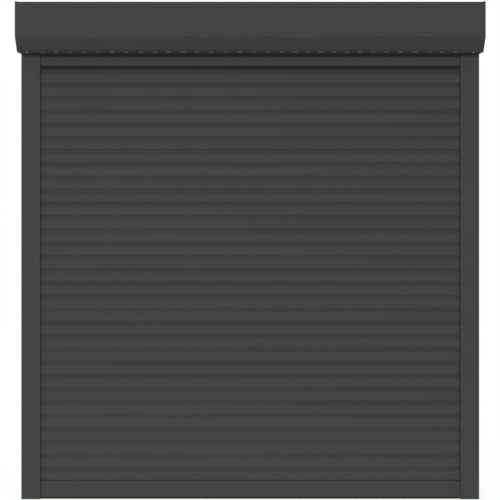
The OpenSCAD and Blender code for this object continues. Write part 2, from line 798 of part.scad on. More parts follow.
box_top_panel();
box_front_panel();
box_inspection_cover();
box_back_panel();
end_cap_left();
end_cap_right();
guide_rail_left();
guide_rail_right();
guide_brush_seals();
guide_foot_plugs();
cable_gland();
cover_screws();
frame_screws();
motor_tube();
motor_head();
motor_bracket();
bearing_bracket();
bearing_outer_ring();
bearing_balls();
bearing_inner_ring();
roller_shaft();
drive_wheel();
crown_ring();
idler_cap();
hanger_straps();
end_bar();
end_bar_seal();
end_bar_plugs();
for (i = [1 : slat_count]) slat(i);
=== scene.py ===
"""Looks of an exterior roller shutter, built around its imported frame.

Lengths are in metres. X runs along the shutter, -Y is outdoors and +Z is up.
"""

import math
import random

import bmesh
import bpy
from mathutils import Matrix, Vector


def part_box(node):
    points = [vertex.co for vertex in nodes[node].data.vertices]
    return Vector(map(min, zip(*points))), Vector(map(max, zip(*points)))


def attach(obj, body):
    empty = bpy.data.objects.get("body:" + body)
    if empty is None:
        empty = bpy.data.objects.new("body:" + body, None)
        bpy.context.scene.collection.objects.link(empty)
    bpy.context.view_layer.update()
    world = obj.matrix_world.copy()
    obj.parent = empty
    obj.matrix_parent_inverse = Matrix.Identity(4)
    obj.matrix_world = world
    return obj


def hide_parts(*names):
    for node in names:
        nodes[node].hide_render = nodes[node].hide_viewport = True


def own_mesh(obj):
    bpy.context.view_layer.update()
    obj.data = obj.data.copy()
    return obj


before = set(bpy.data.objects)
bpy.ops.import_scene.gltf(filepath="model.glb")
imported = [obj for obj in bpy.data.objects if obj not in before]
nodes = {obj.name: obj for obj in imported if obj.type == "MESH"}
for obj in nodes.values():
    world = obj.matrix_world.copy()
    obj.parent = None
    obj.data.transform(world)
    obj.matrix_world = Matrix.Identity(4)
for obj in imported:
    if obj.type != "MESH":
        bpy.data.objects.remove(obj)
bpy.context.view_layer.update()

# Places read from the frame
top_low, top_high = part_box("box_top_panel")
cap_low, cap_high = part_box("end_cap_right")
cover_low, cover_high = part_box("box_inspection_cover")
front_low, front_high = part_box("box_front_panel")
back_low, back_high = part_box("box_back_panel")
rail_low, rail_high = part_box("guide_rail_right")
brush_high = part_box("guide_brush_seals")[1]
bar_low, bar_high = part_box("end_bar")
seal_low, seal_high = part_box("end_bar_seal")
shaft_low, shaft_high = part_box("roller_shaft")
gland_low, gland_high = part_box("cable_gland")

half_width = cap_high.x
panel_end = top_high.x
mouth_x = rail_low.x
bottom_z = cover_low.z
nose_z = front_low.z
nose = bottom_z - nose_z
rim = cap_high.z - top_high.z
slit_y = cover_high.y
shaft_axis = Vector((0, 0, (shaft_low.z + shaft_high.z) / 2))
SLAT_NAMES = sorted(name for name in nodes if name.startswith("slat_"))
slat_low, slat_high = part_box(SLAT_NAMES[0])
last_low, last_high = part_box(SLAT_NAMES[-1])
slat_pitch = (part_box(SLAT_NAMES[1])[0].z - last_low.z) / (len(SLAT_NAMES) - 2)
hook_height = last_high.z - last_low.z - slat_pitch

# Sizes of the box
SHEET = 0.0012
SLOPE_LEG = 0.035
HEM = 0.010
SEAM = 0.0004
TUCK_ROOT = 0.004
TUCK_GAP = 0.0001
END_GAP = 0.001
CUT_EDGE = 0.0003
TOP_FOLD = 0.0005
INNER_FOLD = 0.0003
FRONT_FOLD = 0.0016
COVER_FOLD = 0.0009
COVER_ROOT = 0.0004
COVER_LIP_TURN = 0.001
BACK_FOLD = 0.0008

# Sizes of the rolled nose under the slope, and of the lugs on it
NOSE_ROLL = 0.038
NOSE_TURN = math.radians(31)
NOSE_LIFT = 0.001
NOSE_EDGE = 0.0005
NOSE_STRAIGHT = 0.00125
LUG_FIRST_X = -0.5789
LUG_RUNS = ((1, 0.0362), (16, 0.03945), (8, 0.0364), (3, 0.03993), (2, 0.0358))
LUG_HALF_LENGTH = 0.0072
LUG_HEIGHT = 0.0026
LUG_RAISE = 0.0001
LUG_PROUD = 0.0006
LUG_ROOT = Vector((0.0004, 0.0008))
LUG_BROW = 0.0003
LUG_FADE = 0.02
LUG_FULLNESS = 6
LUG_STEPS = 14

# Sizes of the end caps
CAP_CORNER = 0.0035
CAP_CORNER_FALL = 0.6
CAP_CORNER_LEAST = 0.0005
CAP_INNER_CORNER = 0.0008
CAP_EDGE_RADIUS = 0.0045
CAP_EDGE_TURN = math.radians(40)
CAP_EDGE_STEPS = 6
CAP_ROOT = 0.0005
CAP_LIP = 0.007
LIP_PROUD = 0.0001
LIP_START_INSET = 0.0003
LIP_END_INSET = 0.0002
LIP_ROOT = 0.0004
CAP_FLANGE = 0.012
CAP_FLANGE_WALL = 0.0025
CAP_FLANGE_CORNER = 0.0015
BOSS_REACH = 0.035
BOSS_WIDTH = 0.014
BOSS_DEPTH = 0.008
BOSS_EDGE = 0.0006
SPIGOT_GAP = 0.0002
FUNNEL_HEIGHT = 0.032
FUNNEL_FLARE = 0.006
FUNNEL_WALL = 0.002
FUNNEL_EDGE = 0.0006
GLAND_HOLE_RADIUS = 0.006
GLAND_HOLE_DEPTH = 0.02

# Sizes of the guide rails and the pile in their mouths
RAIL_WALL = 0.0015
RAIL_EDGE = 0.0004
FOOT_PLUG_EDGE = 0.0004
CHANNEL_WIDTH = 0.012
CHAMBER_IN = 0.026
BRUSH_OUT = 0.0022
BAR_BRUSH_OUT = 0.001
BRUSH_SETBACK = 0.0018
BRUSH_TONGUE = 0.00055
BRUSH_STEP = 0.003
SLIT_BRUSH = 0.0025
SLIT_BRUSH_OUT = 0.0006
TUFT_RAGGED = 0.0006
TUFT_SIDE_RAGGED = 0.0003
TUFT_TAPER = 0.0005
RAIL_TUFT_TIP = 0.0004
SLIT_TUFT_TIP = 0.0006
BRUSH_SEED = 7
RUN_GAP = 0.0003

# Sizes of the curtain
SLAT_WALL = 0.0012
SLAT_BEND = 0.0246
SLAT_BEND_RADIUS = 0.022
TURN_SETBACK = 0.0042
TURN_HEIGHT = 0.033
TURN_RADIUS = 0.02
SHOULDER_SETBACK = 0.0047
SHOULDER_GAP = 0.0003
SLAT_SETBACK = 0.0057
SLAT_EDGE = 0.0004
SLAT_FOLD = 0.0006
SLAT_BACK_EDGE = 0.0005
BARE_NECK = 0.0015
NECK_FOLD = 0.0005
HOOK_TIP = 0.0018
HOOK_FOLD = 0.001
HOOK_ROOT = 0.0003
BEAD_REACH = 0.0043
BACK_DROP = 0.0015
BACK_DROP_FOLD = 0.0008
BAR_EDGE = 0.0003
BAR_BACK_EDGE = 0.0008
BAR_LINE = 0.0019
BAR_LINE_RISE = 0.001
BAR_GROOVE_DROP = 0.0162
BAR_GROOVE = 0.001
BAR_PLUG_EDGE = 0.0003
SEAL_REACH = 0.0022
SEAL_EDGE = 0.0004
STRAP = 0.001
STRAP_WIDTH = 0.024
STRAP_COUNT = 4
STRAP_BEND = 0.024
STRAP_FOOT_FOLD = 0.0008
STRAP_GRIP = 0.2

# Sizes of the screws; a head's rings are in shares of its radius and height, with the depth of its lobes
COVER_HEAD = 0.003
COVER_HEAD_HEIGHT = 0.0018
HEAD_RINGS = ((1.0, 0.3, 0.0), (0.93, 0.68, 0.0), (0.76, 0.9, 0.0), (0.56, 1.0, 0.0),
              (0.46, 0.98, 0.12), (0.42, 0.35, 0.12))
HEAD_SEAT = 0.0006
HEAD_SEAT_SHARE = 0.97
SHANK = 0.0019
SHANK_CORE_SHARE = 0.78
SHANK_TIP_SHARE = 0.3
SHANK_LENGTH = 0.0075
SHANK_POINT = 0.0008
SHANK_NECK = 0.0007
THREAD_PITCH = 0.0009
THREAD_FREE = 0.002
SLOPE_SCREW_X = 0.622
SLOPE_SCREW_UP = 0.0052
COVER_SCREW_X = 0.641
COVER_SCREW_INSET = 0.009

# Edges of finished nodes, and the angles in degrees from which an edge is shaded sharp
WELD_DISTANCE = 0.00001
BEVEL_STEPS = 3
BEVEL_ANGLE = math.radians(50)
SHARP = 35.0
CURTAIN_SHARP = 25.0
PILE_SHARP = 60.0

# Directions and places that follow from the sizes
slope_up = Vector((-math.sqrt(0.5), math.sqrt(0.5)))
slope_in = Vector((math.sqrt(0.5), math.sqrt(0.5)))
nose_y = cap_low.y + SLOPE_LEG + rim * math.sqrt(2) + nose
cover_y = nose_y + HEM + SEAM
channel_y = (rail_low.y + rail_high.y) / 2
brush_end = mouth_x - BRUSH_OUT - END_GAP
bar_top = bar_high.z - hook_height


# Shapes

def rounded(corners, steps=6):
    """Closed outline from (a, b, radius) corners; a radius of 0 keeps a corner as it is."""
    points = []
    for i, (a, b, radius) in enumerate(corners):
        here = Vector((a, b))
        if radius == 0:
            points.append(here)
            continue
        before = (Vector(corners[i - 1][:2]) - here).normalized()
        after = (Vector(corners[(i + 1) % len(corners)][:2]) - here).normalized()
        half = before.angle(after) / 2
        sweep = math.pi - 2 * half
        centre = here + (before + after).normalized() * (radius / math.sin(half))
        first = here + before * (radius / math.tan(half)) - centre
        last = here + after * (radius / math.tan(half)) - centre
        for k in range(steps + 1):
            share = k / steps
            arm = first * math.sin((1 - share) * sweep) + last * math.sin(share * sweep)
            points.append(centre + arm / math.sin(sweep))
    return points


def at_x(outline, x):
    """Ring of points from an outline in (y, z)."""
    return [(x, y, z) for y, z in outline]


def bridge(bm, lower, upper):
    """Faces between two rings of vertices."""
    count = len(lower)
    for i in range(count):
        j = (i + 1) % count
        bm.faces.new((lower[i], lower[j], upper[j], upper[i]))


def add_loft(bm, rings):
    """Closed skin over rings of points that all have the same count."""
    loops = [[bm.verts.new(point) for point in ring] for ring in rings]
    for lower, upper in zip(loops, loops[1:]):
        bridge(bm, lower, upper)
    bm.faces.new(loops[0][::-1])
    bm.faces.new(loops[-1])


def add_band(bm, rings):
    """Closed skin over rings of one count, with the last ring joined to the first."""
    loops = [[bm.verts.new(point) for point in ring] for ring in rings]
    for lower, upper in zip(loops, loops[1:] + loops[:1]):
        bridge(bm, lower, upper)


def add_prism(bm, outline, x0, x1):
    """Closed solid with its outline in (y, z), from x0 to x1."""
    add_loft(bm, [at_x(outline, x0), at_x(outline, x1)])


def mirrored(bm):
    """Adds the mirror image of everything at the other end of the shutter."""
    copy = bmesh.ops.duplicate(bm, geom=bm.verts[:] + bm.edges[:] + bm.faces[:])["geom"]
    verts = [item for item in copy if isinstance(item, bmesh.types.BMVert)]
    bmesh.ops.scale(bm, vec=(-1, 1, 1), verts=verts)


def make(name, bm, body, material, sharp=SHARP):
    """Turns a bmesh into a piece that rides on a body."""
    bmesh.ops.recalc_face_normals(bm, faces=bm.faces)
    mesh = bpy.data.meshes.new(name)
    bm.to_mesh(mesh)
    bm.free()
    mesh.shade_smooth()
    mesh.set_sharp_from_angle(angle=math.radians(sharp))
    mesh.materials.append(material)
    piece = bpy.data.objects.new(name, mesh)
    bpy.context.scene.collection.objects.link(piece)
    piece.modifiers.new("normals", "WEIGHTED_NORMAL").keep_sharp = True
    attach(piece, body)
    return piece


def drill(piece, centre, axis, radius, depth, segments=40):
    """Cuts a round hole along an axis out of a piece."""
    bm = bmesh.new()
    turn = Vector((0, 0, 1)).rotation_difference(Vector(axis)).to_matrix().to_4x4()
    bmesh.ops.create_cone(bm, cap_ends=True, segments=segments, radius1=radius, radius2=radius,
                          depth=depth, matrix=Matrix.Translation(centre) @ turn)
    mesh = bpy.data.meshes.new("drill")
    bm.to_mesh(mesh)
    bm.free()
    cutter = bpy.data.objects.new("drill", mesh)
    bpy.context.scene.collection.objects.link(cutter)
    cut = piece.modifiers.new("cut", "BOOLEAN")
    cut.object = cutter
    cut.solver = "EXACT"
    shape = piece.evaluated_get(bpy.context.evaluated_depsgraph_get())
    piece.data = bpy.data.meshes.new_from_object(shape)
    piece.modifiers.clear()
    bpy.data.objects.remove(cutter)
    piece.data.set_sharp_from_angle(angle=math.radians(SHARP))


# Materials

NOISE_LOW = 0.3
NOISE_HIGH = 0.7
TONE_DETAIL = 3.0
GLOSS_FINER = 2.3
GRAIN_STRENGTH = 0.5
DUST_DETAIL = 4.0
DUST_TILT = (0.75, 0.98)
DUST_COVER = (0.06, 0.18)


def blank(name, roughness, metallic=0.0, specular=0.5):
    """New material with one shader."""
    material = bpy.data.materials.new(name)
    material.use_nodes = True
    shader = material.node_tree.nodes["Principled BSDF"]
    shader.inputs["Roughness"].default_value = roughness
    shader.inputs["Metallic"].default_value = metallic
    shader.inputs["Specular IOR Level"].default_value = specular
    return material, material.node_tree, shader


def noise(tree, scale, detail=2.0, stretch=(1.0, 1.0, 1.0)):
    """Value of a noise over the object's own coordinates."""
    coords = tree.nodes.new("ShaderNodeTexCoord")
    mapping = tree.nodes.new("ShaderNodeMapping")
    texture = tree.nodes.new("ShaderNodeTexNoise")
    mapping.inputs["Scale"].default_value = stretch
    texture.inputs["Scale"].default_value = scale
    texture.inputs["Detail"].default_value = detail
    tree.links.new(coords.outputs["Object"], mapping.inputs["Vector"])
    tree.links.new(mapping.outputs["Vector"], texture.inputs["Vector"])
    return texture.outputs["Fac"]


def spread(tree, value, low, high, start=NOISE_LOW, end=NOISE_HIGH):
    """A value between start and end, stretched to run between two numbers."""
    reach = tree.nodes.new("ShaderNodeMapRange")
    reach.inputs["From Min"].default_value = start
    reach.inputs["From Max"].default_value = end
    reach.inputs["To Min"].default_value = low
    reach.inputs["To Max"].default_value = high
    tree.links.new(value, reach.inputs["Value"])
    return reach.outputs["Result"]


def shades(tree, value, dark, light):
    """Colour between two tones that follows a noise value."""
    ramp = tree.nodes.new("ShaderNodeValToRGB")
    ramp.color_ramp.elements[0].position = NOISE_LOW
    ramp.color_ramp.elements[0].color = (*dark, 1.0)
    ramp.color_ramp.elements[1].position = NOISE_HIGH
    ramp.color_ramp.elements[1].color = (*light, 1.0)
    tree.links.new(value, ramp.inputs["Fac"])
    return ramp.outputs["Color"]


def scaled(colour, factor):
    """Colour with every channel times a factor."""
    return tuple(channel * factor for channel in colour)


def add_bump(tree, shader, height, distance, strength):
    """Fine relief on a shader from a height value."""
    bump = tree.nodes.new("ShaderNodeBump")
    bump.inputs["Distance"].default_value = distance
    bump.inputs["Strength"].default_value = strength
    tree.links.new(height, bump.inputs["Height"])
    tree.links.new(bump.outputs["Normal"], shader.inputs["Normal"])


def with_dust(tree, colours, dust, blotch):
    """Colours with a thin film of dust on what faces up."""
    geometry = tree.nodes.new("ShaderNodeNewGeometry")
    axes = tree.nodes.new("ShaderNodeSeparateXYZ")
    both = tree.nodes.new("ShaderNodeMath")
    mix = tree.nodes.new("ShaderNodeMix")
    both.operation = "MULTIPLY"
    mix.data_type = "RGBA"
    tree.links.new(geometry.outputs["Normal"], axes.inputs["Vector"])
    tree.links.new(spread(tree, axes.outputs["Z"], 0.0, 1.0, *DUST_TILT), both.inputs[0])
    tree.links.new(spread(tree, noise(tree, blotch, DUST_DETAIL), *DUST_COVER), both.inputs[1])
    tree.links.new(both.outputs["Value"], mix.inputs["Factor"])
    tree.links.new(colours, mix.inputs["A"])
    mix.inputs["B"].default_value = (*dust, 1.0)
    return mix.outputs["Result"]


def surface(name, colour, roughness, variation, blotch, grain, grain_depth, stretch=(1.0, 1.0, 1.0),
            metallic=0.0, specular=0.5, roughness_spread=0.05, dust=None):
    """Finish with blotches of tone, a varying gloss and a fine relief."""
    material, tree, shader = blank(name, roughness, metallic, specular)
    tone = noise(tree, blotch, TONE_DETAIL, stretch)
    colours = shades(tree, tone, scaled(colour, 1 - variation), scaled(colour, 1 + variation))
    if dust:
        colours = with_dust(tree, colours, dust, blotch)
    tree.links.new(colours, shader.inputs["Base Color"])
    gloss = spread(tree, noise(tree, blotch * GLOSS_FINER, stretch=stretch),
                   roughness - roughness_spread, roughness + roughness_spread)
    tree.links.new(gloss, shader.inputs["Roughness"])
    add_bump(tree, shader, noise(tree, grain, stretch=stretch), grain_depth, GRAIN_STRENGTH)
    return material


COAT = (0.0446, 0.045, 0.0446)
# Painted highlight: the lugs get a lighter tone than the coat to stand in for light glinting on their
# pressed crests
LUG_HIGHLIGHT = (0.059, 0.059, 0.059)
# Painted shade: the hooks and necks are near-black so that the open joints read as deep dark gaps
PAINTED_SHADE = (0.011, 0.011, 0.0112)
PLASTIC = (0.012, 0.012, 0.0122)
RUBBER = (0.009, 0.009, 0.0092)
PILE = (0.028, 0.028, 0.028)
STAINLESS = (0.3, 0.3, 0.295)
ZINC = (0.46, 0.47, 0.48)
SPRING_STEEL = (0.16, 0.17, 0.19)
GROUND_STEEL = (0.55, 0.55, 0.55)
ALUMINIUM = (0.42, 0.42, 0.43)
DUST = (0.13, 0.125, 0.115)

coat = surface("powder_coat", COAT, roughness=0.5, variation=0.02, blotch=14.0, grain=1900.0,
               grain_depth=0.00006, specular=0.05, roughness_spread=0.02, dust=DUST)
enamel = surface("slat_enamel", COAT, roughness=0.5, variation=0.02, blotch=22.0, grain=900.0,
                 grain_depth=0.00002, stretch=(0.06, 1.0, 1.0), specular=0.05, roughness_spread=0.02)
# Coat for the lugs, lighter than the box: painted highlight on their crests
lug_highlight = surface("lug_highlight_coat", LUG_HIGHLIGHT, roughness=0.45, variation=0.1, blotch=60.0, grain=1900.0,
                 grain_depth=0.00004, specular=0.1)
# Dark tone for the hooks: painted shade in the joints between slats
painted_shade = surface("hook_painted_shade", PAINTED_SHADE, roughness=0.6, variation=0.08, blotch=40.0, grain=900.0,
                  grain_depth=0.00002, stretch=(0.06, 1.0, 1.0), specular=0.1)
plastic = surface("moulded_plastic", PLASTIC, roughness=0.55, variation=0.12, blotch=60.0, grain=2600.0,
                  grain_depth=0.00003, specular=0.25)
rubber = surface("extruded_rubber", RUBBER, roughness=0.72, variation=0.18, blotch=40.0, grain=1500.0,
                 grain_depth=0.00005, stretch=(0.1, 1.0, 1.0), specular=0.15)
pile = surface("brush_pile", PILE, roughness=0.85, variation=0.3, blotch=900.0, grain=2400.0,
               grain_depth=0.0002, specular=0.08)
stainless = surface("stainless_steel", STAINLESS, roughness=0.36, variation=0.06, blotch=300.0, grain=3000.0,
                    grain_depth=0.00001, metallic=1.0)
zinc = surface("zinc_plate", ZINC, roughness=0.42, variation=0.16, blotch=90.0, grain=700.0,
               grain_depth=0.00002, metallic=1.0)
spring = surface("spring_steel", SPRING_STEEL, roughness=0.38, variation=0.1, blotch=60.0, grain=900.0,
                 grain_depth=0.00001, metallic=1.0)
bearing = surface("ground_steel", GROUND_STEEL, roughness=0.2, variation=0.04, blotch=200.0, grain=2000.0,
                  grain_depth=0.000005, metallic=1.0)
casing = surface("drawn_aluminium", ALUMINIUM, roughness=0.36, variation=0.06, blotch=50.0, grain=1200.0,
                 grain_depth=0.00001, stretch=(0.05, 1.0, 1.0), metallic=1.0)


# Box

def box_corners(inset, wall_inset, corner):
    """Outline of the box in (y, z), inset at the outdoor side and at the wall and below."""
    slope_y = cap_low.y + SLOPE_LEG + inset * math.sqrt(2) - wall_inset
    slope_z = bottom_z + SLOPE_LEG + inset * (math.sqrt(2) - 1)
    return [
        (cap_low.y + inset, cap_high.z - inset, corner),
        (cap_high.y - wall_inset, cap_high.z - inset, corner),
        (cap_high.y - wall_inset, bottom_z + wall_inset, corner),
        (slope_y, bottom_z + wall_inset, corner),
        (cap_low.y + inset, slope_z, corner),
    ]


def top_panel():
    """Top sheet with a lip folded down at the front and at the wall."""
    outline = rounded([
        (top_low.y, top_low.z, CUT_EDGE), (top_low.y, top_high.z, TOP_FOLD),
        (top_high.y, top_high.z, TOP_FOLD), (top_high.y, top_low.z, CUT_EDGE),
        (top_high.y - SHEET, top_low.z, CUT_EDGE), (top_high.y - SHEET, top_high.z - SHEET, INNER_FOLD),
        (top_low.y + SHEET, top_high.z - SHEET, INNER_FOLD), (top_low.y + SHEET, top_low.z, CUT_EDGE),
    ])
    bm = bmesh.new()
    add_prism(bm, outline, -panel_end, panel_end)
    piece = make("top_panel", bm, "frame", coat)
    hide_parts("box_top_panel")


def nose_corners():
    """Roll at the lower edge of the slope: the point where it turns, and the edge it ends in."""
    length = NOSE_ROLL * math.tan(NOSE_TURN / 2) + NOSE_STRAIGHT
    fall = math.pi / 4 - NOSE_TURN
    drop = length * math.sin(fall)
    turn = Vector((nose_y - NOSE_LIFT - drop, nose_z + NOSE_LIFT + drop))
    return turn, turn + length * Vector((math.cos(fall), -math.sin(fall)))


def front_panel():
    """Upright face, slope and rolled nose in one sheet, with a tuck behind the top panel's lip."""
    outer, inner = box_corners(rim, 0.0, 0.0), box_corners(rim + SHEET, SHEET, 0.0)
    seam_z = top_low.z - SEAM
    turn, edge = nose_corners()
    outline = rounded([
        (outer[4][0], seam_z, CUT_EDGE), (outer[4][0], outer[4][1], FRONT_FOLD),
        (turn.x, turn.y, NOSE_ROLL), (edge.x, edge.y, NOSE_EDGE), (edge.x, bottom_z, CUT_EDGE),
        (nose_y + HEM, bottom_z, CUT_EDGE), (nose_y + HEM, bottom_z + SHEET, CUT_EDGE),
        (inner[3][0], inner[3][1], SHEET), (inner[4][0], inner[4][1], SHEET),
        (inner[4][0], seam_z, CUT_EDGE),
    ], steps=10)
    bm = bmesh.new()
    add_prism(bm, outline, -panel_end, panel_end)
    tuck_y = outer[4][0] + SHEET
    tuck_end = panel_end - CAP_FLANGE - END_GAP
    tuck = [(tuck_y, seam_z - TUCK_ROOT), (tuck_y + SHEET, seam_z - TUCK_ROOT),
            (tuck_y + SHEET, front_high.z), (tuck_y + TUCK_GAP, front_high.z), (tuck_y + TUCK_GAP, seam_z)]
    add_prism(bm, tuck, -tuck_end, tuck_end)
    piece = make("front_panel", bm, "frame", coat)
    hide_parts("box_front_panel")


def front_lugs():
    """Row of lugs from left to right, pressed in runs of (count, distance)."""
    bm = bmesh.new()
    x = LUG_FIRST_X
    add_lug(bm, x)
    for count, distance in LUG_RUNS:
        for _ in range(count):
            x += distance
            add_lug(bm, x)
    # The lugs take the lighter coat, a painted highlight on the pressed crests
    piece = make("front_lugs", bm, "frame", lug_highlight)
    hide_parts("box_front_panel")


def add_lug(bm, x):
    """Pressed lug: an upright face that swells out of the rolled edge and fades at both ends."""
    edge = nose_corners()[1]
    face_y = nose_y - LUG_PROUD
    low = Vector((edge.x - NOSE_EDGE, nose_z + LUG_RAISE))
    brow = Vector((face_y, nose_z + LUG_RAISE))
    high = Vector((face_y, nose_z + LUG_RAISE + LUG_HEIGHT))
    middle = (low + high) / 2 + LUG_ROOT
    rings = []
    for k in range(LUG_STEPS + 1):
        place = -1 + 2 * k / LUG_STEPS
        swell = LUG_FADE + (1 - LUG_FADE) * math.sqrt(max(0.0, 1 - place ** LUG_FULLNESS))
        top = middle + (brow - middle) * swell
        ring = rounded([(*(low + LUG_ROOT), 0.0), (*low, 0.0), (*top, LUG_BROW * swell), (*high, 0.0),
                        (*(high + LUG_ROOT), 0.0)], steps=3)
        rings.append(at_x(ring, x + place * LUG_HALF_LENGTH))
    add_loft(bm, rings)


def inspection_cover():
    """Plate under the box, with a lip up the curtain's slit and a tuck over the front panel's hem."""
    bm = bmesh.new()
    plate = rounded([
        (cover_y, bottom_z, CUT_EDGE), (slit_y, bottom_z, COVER_FOLD),
        (slit_y, bottom_z + SHEET, 0.0), (cover_y, bottom_z + SHEET, CUT_EDGE),
    ])
    add_prism(bm, plate, -panel_end, panel_end)
    root_z = bottom_z + COVER_ROOT
    lip = [(slit_y - SHEET, root_z), (slit_y, bottom_z + COVER_LIP_TURN),
           (slit_y, cover_high.z), (slit_y - SHEET, cover_high.z)]
    add_prism(bm, lip, -brush_end, brush_end)
    tuck_end = panel_end - BOSS_REACH - END_GAP
    tuck_z = bottom_z + SHEET + TUCK_GAP
    tuck = [(cover_y + SEAM, root_z), (cover_y + TUCK_ROOT, root_z),
            (cover_y + TUCK_ROOT, tuck_z + SHEET), (cover_low.y, tuck_z + SHEET),
            (cover_low.y, tuck_z), (cover_y + SEAM, tuck_z)]
    add_prism(bm, tuck, -tuck_end, tuck_end)
    piece = make("inspection_cover", bm, "frame", coat)
    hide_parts("box_inspection_cover")


def back_panel():
    """Sheet at the wall, with a tuck behind the top panel's lip and a shelf up to the curtain's slit."""
    seam_z = top_low.z - SEAM
    inner_y = back_high.y - SHEET
    bm = bmesh.new()
    plate = rounded([
        (inner_y, bottom_z, 0.0), (back_high.y, bottom_z, BACK_FOLD),
        (back_high.y, seam_z, CUT_EDGE), (inner_y, seam_z, CUT_EDGE),
    ])
    add_prism(bm, plate, -panel_end, panel_end)
    tuck_end = panel_end - CAP_FLANGE - END_GAP
    tuck_y = inner_y - TUCK_GAP
    tuck = [(inner_y, seam_z - TUCK_ROOT), (inner_y, seam_z), (tuck_y, seam_z), (tuck_y, back_high.z),
            (tuck_y - SHEET, back_high.z), (tuck_y - SHEET, seam_z - TUCK_ROOT)]
    add_prism(bm, tuck, -tuck_end, tuck_end)
    shelf = [(back_low.y, bottom_z), (inner_y, bottom_z),
             (inner_y, bottom_z + SHEET), (back_low.y, bottom_z + SHEET)]
    add_prism(bm, shelf, -brush_end, brush_end)
    piece = make("back_panel", bm, "frame", coat)
    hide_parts("box_back_panel")


# End caps, drawn at the +X end

def cap_outline(inset):
    """Outline of a cap's plate with the drip nose under its slope, inset all round."""
    corner = max(CAP_CORNER - CAP_CORNER_FALL * inset, CAP_CORNER_LEAST)
    slope_y = cap_low.y + SLOPE_LEG + nose + inset * (math.sqrt(2) - 1)
    slope_z = bottom_z + SLOPE_LEG + inset * (math.sqrt(2) - 1)
    return rounded([
        (cap_low.y + inset, cap_high.z - inset, corner), (cap_high.y - inset, cap_high.z - inset, corner),
        (cap_high.y - inset, bottom_z + inset, corner), (nose_y, bottom_z + inset, 0.0),
        (nose_y, nose_z + inset, 0.0), (slope_y, nose_z + inset, 0.0), (cap_low.y + inset, slope_z, corner),
    ])


def cap_plate(side, name):
    """Plate with a rounded outer edge, and the tapered lip that it lays over the panels' ends."""
    rings = [at_x(cap_outline(0.0), panel_end)]
    for k in range(CAP_EDGE_STEPS + 1):
        angle = k / CAP_EDGE_STEPS * CAP_EDGE_TURN
        rings.append(at_x(cap_outline(CAP_EDGE_RADIUS * (1 - math.cos(angle))),
                          half_width - CAP_EDGE_RADIUS * (math.sin(CAP_EDGE_TURN) - math.sin(angle))))
    bm = bmesh.new()
    add_loft(bm, rings)
    lip_start = rounded(box_corners(rim - LIP_PROUD, LIP_START_INSET, TOP_FOLD))
    lip_end = rounded(box_corners(LIP_END_INSET, LIP_END_INSET, CAP_CORNER))
    lip_inside = rounded(box_corners(rim + LIP_ROOT, 2 * LIP_ROOT, TOP_FOLD))
    start_x = panel_end - CAP_LIP
    root_x = panel_end + LIP_ROOT
    add_band(bm, [at_x(lip_start, start_x), at_x(lip_end, root_x),
                  at_x(lip_inside, root_x), at_x(lip_inside, start_x)])
    if side < 0:
        bmesh.ops.scale(bm, vec=(-1, 1, 1), verts=bm.verts)
    piece = make(f"cap_plate_{name}", bm, "frame", coat)
    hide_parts(f"end_cap_{name}")
    if side > 0:
        drill(piece, (gland_low + gland_high) / 2, (1, 0, 0), GLAND_HOLE_RADIUS, GLAND_HOLE_DEPTH)


def cap_inside(side, name):
    """Flange, screw boss, rail spigot and slat funnel behind a cap's plate."""
    core = rim + SHEET
    inner_x = panel_end + CAP_ROOT
    outer = rounded(box_corners(core, SHEET, CAP_FLANGE_CORNER))
    inner = rounded(box_corners(core + CAP_FLANGE_WALL, SHEET + CAP_FLANGE_WALL, CAP_INNER_CORNER))
    flange_x = panel_end - CAP_FLANGE
    bm = bmesh.new()
    add_band(bm, [at_x(outer, flange_x), at_x(outer, inner_x), at_x(inner, inner_x), at_x(inner, flange_x)])

    corner = Vector(box_corners(core, SHEET, 0.0)[3][:2])
    far = corner + BOSS_WIDTH * slope_up
    boss = [corner, far, far + BOSS_DEPTH * slope_in, corner + BOSS_DEPTH * (slope_in - slope_up)]
    add_prism(bm, rounded([(*point, BOSS_EDGE) for point in boss]), panel_end - BOSS_REACH, inner_x)

    spigot_y = RAIL_WALL + SPIGOT_GAP
    spigot = [(rail_low.y + spigot_y, cap_low.z), (rail_high.y - spigot_y, cap_low.z),
              (rail_high.y - spigot_y, bottom_z + SHEET + CAP_FLANGE_WALL),
              (rail_low.y + spigot_y, bottom_z + SHEET + CAP_FLANGE_WALL)]
    add_prism(bm, rounded([(*point, CAP_INNER_CORNER) for point in spigot]),
              mouth_x + CHAMBER_IN + SPIGOT_GAP, half_width - RAIL_WALL - SPIGOT_GAP)

    foot = Vector((channel_y - CHANNEL_WIDTH / 2, bottom_z + SHEET + RUN_GAP))
    flare = Vector((-FUNNEL_FLARE, FUNNEL_HEIGHT))
    wall = Vector((FUNNEL_WALL, 0))
    funnel = [foot - wall, foot, foot + flare, foot + flare - wall]
    add_prism(bm, rounded([(*point, FUNNEL_EDGE) for point in funnel]), mouth_x, inner_x)
    if side < 0:
        bmesh.ops.scale(bm, vec=(-1, 1, 1), verts=bm.verts)
    piece = make(f"cap_inside_{name}", bm, "frame", coat)
    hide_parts(f"end_cap_{name}")


# Screws

def add_turned(bm, place, axis, profile, segments=36):
    """Turned shape from (radius, height, lobe) rings along an axis; lobe is the depth of six lobes."""
    turn = Vector((0, 0, 1)).rotation_difference(Vector(axis)).to_matrix()
    rings = []
    for radius, height, lobe in profile:
        ring = []
        for i in range(segments):
            angle = 2 * math.pi * i / segments
            reach = radius * (1 + lobe * math.cos(6 * angle))
            point = Vector((reach * math.cos(angle), reach * math.sin(angle), height))
            ring.append(Vector(place) + turn @ point)
        rings.append(ring)
    add_loft(bm, rings)


